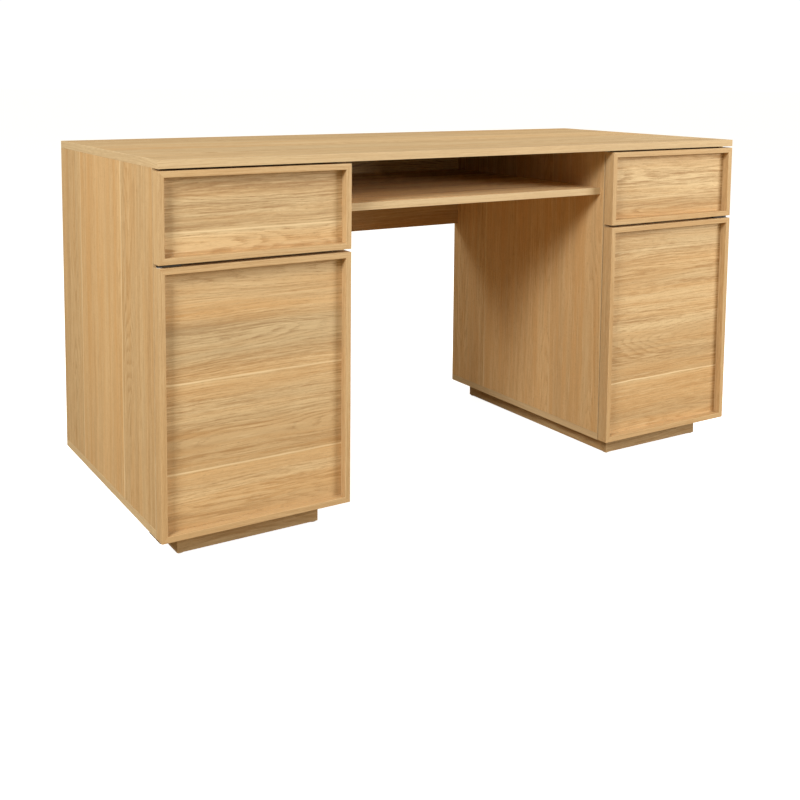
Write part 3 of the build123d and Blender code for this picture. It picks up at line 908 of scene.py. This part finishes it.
class DESK_OT_fronts(bpy.types.Operator):
    """Drawer fronts and doors: a recessed panel in a mitred lipping"""
    bl_idname = "desk.fronts"
    bl_label = "Drawer fronts and doors"

    def execute(self, context):
        # Shares count up from the bottom of each panel.
        leaves = {
            "left_drawer": [(0.0, 0.10, 0.0), (0.30, 0.80, 0.80)],
            "left_door": [(0.0, 0.05, 0.0), (0.227, 0.33, 1.0), (0.570, 0.72, 0.85), (0.870, 0.98, 0.30)],
            "right_drawer": [(0.0, 0.12, 0.0), (0.315, 0.70, 0.50)],
            "right_door": [(0.0, 0.02, 0.0), (0.253, 0.44, 1.0), (0.640, 0.78, 0.20), (0.890, 1.00, 0.30)],
        }
        tones = {
            "left_drawer": [(0.0, (0.48, 0.75, 0.0)), (0.10, (0.52, 0.45, 0.0)), (0.25, (0.62, 0.10, 0.1)),
                            (0.31, (0.46, 0.10, 0.5)), (0.70, (0.50, 0.10, 0.35)), (1.0, (0.46, 0.20, 0.45))],
            "left_door": [(0.0, (0.44, 0.95, 0.0)), (0.06, (0.46, 0.85, 0.0)), (0.12, (0.62, 0.25, 0.0)),
                          (0.22, (0.56, 0.65, 0.0)), (0.23, (0.40, 0.75, 0.1)), (0.36, (0.42, 0.75, 0.1)),
                          (0.45, (0.52, 0.20, 0.25)), (0.60, (0.52, 0.65, 0.0)), (0.68, (0.44, 0.10, 0.75)),
                          (0.77, (0.46, 0.10, 0.80)), (0.82, (0.52, 0.85, 0.0)), (1.0, (0.46, 0.20, 0.40))],
            "right_drawer": [(0.0, (0.46, 0.75, 0.0)), (0.29, (0.45, 0.60, 0.1)), (0.33, (0.58, 0.0, 0.15)),
                             (1.0, (0.54, 0.1, 0.30))],
            "right_door": [(0.0, (0.55, 0.60, 0.0)), (0.09, (0.38, 0.95, 0.0)), (0.14, (0.55, 0.55, 0.0)),
                           (0.245, (0.56, 0.60, 0.0)), (0.26, (0.46, 0.65, 0.0)), (0.46, (0.44, 0.50, 0.1)),
                           (0.52, (0.56, 0.20, 0.1)), (0.65, (0.54, 0.45, 0.0)), (0.76, (0.46, 0.55, 0.1)),
                           (0.83, (0.56, 0.80, 0.0)), (0.90, (0.50, 0.10, 0.40)), (1.0, (0.50, 0.10, 0.40))],
        }
        for base in leaves:
            side, which = base.split("_")
            build_front(side, which, leaves[base], tones[base])
        return {"FINISHED"}


class DESK_OT_drawer_boxes(bpy.types.Operator):
    """Birch plywood drawer boxes with a grooved-in bottom"""
    bl_idname = "desk.drawer_boxes"
    bl_label = "Drawer boxes"

    def execute(self, context):
        sizes = context.scene.desk_boards
        room = Vector((1.0, 1.0, 1.0)) * sizes.play
        for side in SIDES:
            body = side + "_drawer"
            bottom_low, bottom_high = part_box(side + "_drawer_bottom")
            for which, along, thick in (("front", "x", "y"), ("back", "x", "y"), ("sides", "y", "x")):
                node = side + "_drawer_box_" + which
                bm = bmesh.new()
                for low, high in solids_in(node):
                    edges = edges_of(add_box(bm, low, high))
                    top = [e for e in edges if all(abs(v.co.z - high.z) < CLOSE for v in e.verts)]
                    soften(bm, top, sizes.ply_arris, 3)
                cutter = bmesh.new()
                add_box(cutter, bottom_low - room, bottom_high + room)
                bm = carved(bm, cutter)
                piece_from(node + "_wall", bm, body, [birch_plywood(along, thick)], (node,))
            bm = bmesh.new()
            soften(bm, edges_of(add_box(bm, bottom_low, bottom_high)), sizes.arris)
            piece_from(side + "_drawer_bottom_board", bm, body, [birch_plywood("x", "z")],
                       (side + "_drawer_bottom",))
        return {"FINISHED"}


def slide_channel(low, high, web_low):
    """One channel, bent from strip: a web on its low or high x side and two flanges."""
    sizes = bpy.context.scene.desk_fitting_sizes
    web, tip = (low.x, high.x) if web_low else (high.x, low.x)
    bm = bmesh.new()
    section = ((tip, low.z), (web, low.z), (web, high.z), (tip, high.z))
    line = [bm.verts.new((x, low.y, z)) for x, z in section]
    edges = [bm.edges.new(pair) for pair in zip(line, line[1:])]
    swept = bmesh.ops.extrude_edge_only(bm, edges=edges)["geom"]
    bmesh.ops.translate(bm, vec=(0.0, high.y - low.y, 0.0),
                        verts=[part for part in swept if isinstance(part, bmesh.types.BMVert)])
    corners = [e for e in bm.edges
               if all(abs(v.co.x - web) < CLOSE for v in e.verts)
               and abs(e.verts[0].co.y - e.verts[1].co.y) > 0.01]
    soften(bm, corners, sizes.bend, 4)
    bmesh.ops.recalc_face_normals(bm, faces=bm.faces)
    inward = Vector((1.0 if web_low else -1.0, 0.0, 0.0))
    web_face = max(bm.faces, key=lambda f: f.calc_area())
    if web_face.normal.dot(inward) > 0:
        bmesh.ops.reverse_faces(bm, faces=bm.faces)
    bmesh.ops.solidify(bm, geom=bm.faces[:], thickness=sizes.steel)
    bmesh.ops.recalc_face_normals(bm, faces=bm.faces)
    return bm


class DESK_OT_slides(bpy.types.Operator):
    """Telescopic drawer slides, three nested channels on each side of a drawer"""
    bl_idname = "desk.slides"
    bl_label = "Drawer slides"

    def execute(self, context):
        for side in SIDES:
            for member, body in (("outer", "desk_frame"), ("middle", side + "_slide_middle"),
                                 ("inner", side + "_drawer")):
                node = side + "_slide_" + member
                centre = sum(corner.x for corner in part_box(node)) / 2
                bm = bmesh.new()
                for low, high in solids_in(node):
                    on_low_wall = (low.x + high.x) / 2 < centre
                    web_low = on_low_wall if member != "inner" else not on_low_wall
                    join_into(bm, slide_channel(low, high, web_low))
                piece_from(node + "_channels", bm, body, [zinc_steel("y")], (node,))
        return {"FINISHED"}


def lathe(bm, outline, centre, up, segments=32):
    """Turns an outline of (radius, height) points about a vertical line through centre."""
    points = [Vector((centre[0] + radius, centre[1], centre[2] + up * height)) for radius, height in outline]
    verts = [bm.verts.new(point) for point in points]
    edges = [bm.edges.new(pair) for pair in zip(verts, verts[1:] + verts[:1])]
    bmesh.ops.spin(bm, geom=[*verts, *edges], cent=centre, axis=(0.0, 0.0, 1.0), dvec=(0.0, 0.0, 0.0),
                   angle=math.tau, steps=segments, use_merge=True, use_duplicate=False)


class DESK_OT_pivots(bpy.types.Operator):
    """Door pivots: steel plates with their pins and screws, and nylon bushes in the doors"""
    bl_idname = "desk.pivots"
    bl_label = "Door pivots"

    def execute(self, context):
        sizes = context.scene.desk_fitting_sizes
        for side in SIDES:
            # Painted shade: the pivot plates get darkened zinc so the end of the gap between drawer front and
            # door reads dark.
            dress_cad(side + "_pivot_plates", zinc_steel("y", "dulled"))
            bm = bmesh.new()
            for low, high in solids_in(side + "_door_bushes"):
                radius = (high.x - low.x) / 2
                sleeve = radius - sizes.bush_step
                bore = sizes.bush_bore
                length = high.z - low.z
                flange = sizes.bush_flange
                soft = 0.0002
                outline = ((bore, 0.0), (radius - soft, 0.0), (radius, soft), (radius, flange - soft),
                           (radius - soft, flange), (sleeve, flange), (sleeve, length - 3 * soft),
                           (sleeve - 3 * soft, length), (bore, length))
                upper = (low.z + high.z) / 2 > sum(c.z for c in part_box(side + "_door_panel")) / 2
                up = -1 if upper else 1
                centre = ((low.x + high.x) / 2, (low.y + high.y) / 2, high.z if upper else low.z)
                lathe(bm, outline, centre, up)
            bmesh.ops.remove_doubles(bm, verts=bm.verts, dist=CLOSE)
            bmesh.ops.recalc_face_normals(bm, faces=bm.faces)
            piece_from(side + "_door_bush_sleeves", bm, side + "_door", [moulded("nylon")],
                       (side + "_door_bushes",))
        return {"FINISHED"}


class DESK_OT_catches(bpy.types.Operator):
    """Magnetic catches under the dividers and their plates on the doors"""
    bl_idname = "desk.catches"
    bl_label = "Door catches"

    def execute(self, context):
        bm = bmesh.new()
        poles = bmesh.new()
        for low, high in solids_in("door_catches"):
            ear = 0.007
            body_low = Vector((low.x + ear, low.y + 0.0008, low.z))
            body_high = Vector((high.x - ear, high.y, high.z))
            soften(bm, edges_of(add_box(bm, body_low, body_high)), 0.0012, 3)
            ear_low = Vector((low.x, low.y + 0.004, high.z - 0.003))
            ear_high = Vector((high.x, high.y - 0.004, high.z))
            ears = edges_of(add_box(bm, ear_low, ear_high))
            soften(bm, [e for e in ears if abs(e.verts[0].co.z - e.verts[1].co.z) > 0.001], 0.003, 4)
            for share in (0.25, 0.75):
                middle = low.z + (high.z - low.z) * share
                pole_low = (low.x + ear + 0.002, low.y, middle - 0.001)
                pole_high = (high.x - ear - 0.002, high.y - 0.003, middle + 0.001)
                soften(poles, edges_of(add_box(poles, pole_low, pole_high)), 0.0003)
        piece_from("catch_housings", bm, "desk_frame", [moulded("black")], ("door_catches",))
        piece_from("catch_poles", poles, "desk_frame", [zinc_steel("x")])
        for side in SIDES:
            low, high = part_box(side + "_catch_plate")
            bm = bmesh.new()
            edges = edges_of(add_box(bm, low, high))
            soften(bm, [e for e in edges if abs(e.verts[0].co.y - e.verts[1].co.y) > 0.0005], 0.002, 4)
            piece_from(side + "_strike_plate", bm, side + "_door", [zinc_steel("x")],
                       (side + "_catch_plate",))
        return {"FINISHED"}


class DESK_OT_fixings(bpy.types.Operator):
    """Dowels, shelf pegs, cam fittings, floor screws and glides"""
    bl_idname = "desk.fixings"
    bl_label = "Fixings and glides"

    def execute(self, context):
        dress_cad("dowels", beech())
        dress_cad("shelf_pegs", zinc_steel("x"))
        dress_cad("cam_fittings", zinc_steel("z"))
        dress_cad("floor_screws", zinc_steel("z"))
        bm = bmesh.new()
        soft = 0.0006
        for low, high in solids_in("glides"):
            radius = (high.x - low.x) / 2
            foot = 0.002
            nail = 0.0009
            outline = ((0.0, 0.0), (radius - soft, 0.0), (radius, soft), (radius, foot - soft / 2),
                       (radius - soft / 2, foot), (nail, foot), (nail, high.z - low.z), (0.0, high.z - low.z))
            centre = ((low.x + high.x) / 2, (low.y + high.y) / 2, low.z)
            lathe(bm, outline, centre, 1, 24)
        bmesh.ops.remove_doubles(bm, verts=bm.verts, dist=CLOSE)
        bmesh.ops.recalc_face_normals(bm, faces=bm.faces)
        piece_from("plinth_glides", bm, "desk_frame", [moulded("nylon")], ("glides",))
        return {"FINISHED"}


def softbox(name, place, aim, width, power):
    data = bpy.data.lights.new(name, "AREA")
    data.shape = "SQUARE"
    data.size = width
    data.energy = power
    lamp = bpy.data.objects.new(name, data)
    bpy.context.scene.collection.objects.link(lamp)
    lamp.location = place
    lamp.rotation_euler = (Vector(aim) - Vector(place)).to_track_quat("-Z", "Y").to_euler()
    return lamp


def floor_sheet(name, z, reach):
    bm = bmesh.new()
    bmesh.ops.create_grid(bm, x_segments=1, y_segments=1, size=reach)
    bmesh.ops.translate(bm, vec=(0.0, 0.0, z), verts=bm.verts)
    mesh = bpy.data.meshes.new(name)
    bm.to_mesh(mesh)
    bm.free()
    sheet = bpy.data.objects.new(name, mesh)
    bpy.context.scene.collection.objects.link(sheet)
    return sheet


class DESK_OT_studio(bpy.types.Operator):
    """A pale floor, four softboxes and the camera"""
    bl_idname = "desk.studio"
    bl_label = "Studio"

    def execute(self, context):
        scene = context.scene
        studio = scene.desk_studio
        floor = floor_sheet("studio_floor", CAD_LOW.z - FLOOR_DROP, 60.0)
        material, _, shader, _ = new_material("studio_floor")
        shader.inputs["Base Color"].default_value = (*studio.floor, 1.0)
        shader.inputs["Roughness"].default_value = 0.9
        shader.inputs["Specular IOR Level"].default_value = 0.1
        shader.inputs["Emission Color"].default_value = (1.0, 1.0, 1.0, 1.0)
        shader.inputs["Emission Strength"].default_value = 0.85
        floor.data.materials.append(material)
        for ray in ("diffuse", "glossy", "transmission", "volume_scatter", "shadow"):
            setattr(floor, "visible_" + ray, False)
        bounce = floor_sheet("studio_bounce", CAD_LOW.z - 2 * FLOOR_DROP, 12.0)
        material, _, shader, _ = new_material("studio_bounce")
        shader.inputs["Base Color"].default_value = (*studio.bounce, 1.0)
        shader.inputs["Roughness"].default_value = 0.9
        bounce.data.materials.append(material)
        bounce.visible_camera = False

        middle = (CAD_LOW + CAD_HIGH) / 2
        for name, turned, raised, away, width, power in (
                ("softbox_right", 37.0, 18.0, 4.0, 1.7, studio.key),
                ("softbox_left", -60.0, 29.5, 4.0, 1.0, studio.side),
                ("softbox_top", 88.0, 58.0, 2.6, 1.0, studio.top),
                ("softbox_back", -132.0, 36.0, 4.0, 1.2, studio.back)):
            around, up = math.radians(turned), math.radians(raised)
            way = Vector((math.sin(around) * math.cos(up), -math.cos(around) * math.cos(up), math.sin(up)))
            softbox(name, middle + way * away, middle, width, power)

        world = bpy.data.worlds.new("studio")
        world.use_nodes = True
        scene.world = world
        tree = world.node_tree
        lit = tree.nodes["Background"]
        lit.inputs["Color"].default_value = (*studio.glow, 1.0)
        lit.inputs["Strength"].default_value = studio.ambient
        seen = add_node(tree, "ShaderNodeBackground", {"Color": (1.0, 1.0, 1.0, 1.0), "Strength": 1.05})
        path = tree.nodes.new("ShaderNodeLightPath")
        mix = add_node(tree, "ShaderNodeMixShader", {0: path.outputs["Is Camera Ray"],
                                                     1: lit.outputs[0], 2: seen.outputs[0]})
        tree.links.new(mix.outputs[0], tree.nodes["World Output"].inputs["Surface"])

        data = bpy.data.cameras.new("camera")
        camera = bpy.data.objects.new("camera", data)
        scene.collection.objects.link(camera)
        data.sensor_width = 36.0
        data.lens = studio.lens
        data.shift_x, data.shift_y = 0.024, -0.276
        data.clip_start = 0.05
        data.clip_end = 200.0
        stand = (-1.418, -2.160, 0.9145)
        turned, lowered, rolled = -31.6, 5.5, 0.45
        turn = Matrix.Rotation(math.radians(turned), 4, "Z")
        tilt = Matrix.Rotation(math.radians(90.0 - lowered), 4, "X")
        roll = Matrix.Rotation(math.radians(rolled), 4, "Z")
        camera.matrix_world = Matrix.Translation(stand) @ turn @ tilt @ roll
        scene.camera = camera
        scene.view_settings.view_transform = "Standard"
        scene.view_settings.look = "None"
        return {"FINISHED"}


OPERATORS = (DESK_OT_studio, DESK_OT_desktop, DESK_OT_side_boards, DESK_OT_carcass_boards,
             DESK_OT_plinths, DESK_OT_fronts, DESK_OT_drawer_boxes, DESK_OT_slides,
             DESK_OT_pivots, DESK_OT_catches, DESK_OT_fixings)


class DESK_PT_panel(bpy.types.Panel):
    """Lists the steps that build the desk"""
    bl_idname = "DESK_PT_panel"
    bl_label = "Teacher desk"
    bl_space_type = "VIEW_3D"
    bl_region_type = "UI"
    bl_category = "Desk"

    def draw(self, context):
        for operator in OPERATORS:
            self.layout.operator(operator.bl_idname)


SETTINGS = {"desk_boards": DeskBoardSizes, "desk_fitting_sizes": DeskFittingSizes, "desk_oak": DeskOakColours,
            "desk_fittings": DeskFittingColours, "desk_studio": DeskStudio}
CLASSES = (*SETTINGS.values(), *OPERATORS, DESK_PT_panel)


def register():
    for item in CLASSES:
        bpy.utils.register_class(item)
    for name, group in SETTINGS.items():
        setattr(bpy.types.Scene, name, PointerProperty(type=group))


def unregister():
    for name in SETTINGS:
        delattr(bpy.types.Scene, name)
    for item in reversed(CLASSES):
        bpy.utils.unregister_class(item)


def main():
    register()
    for operator in OPERATORS:
        group, step = operator.bl_idname.split(".")
        getattr(getattr(bpy.ops, group), step)()


if __name__ == "__main__":
    main()
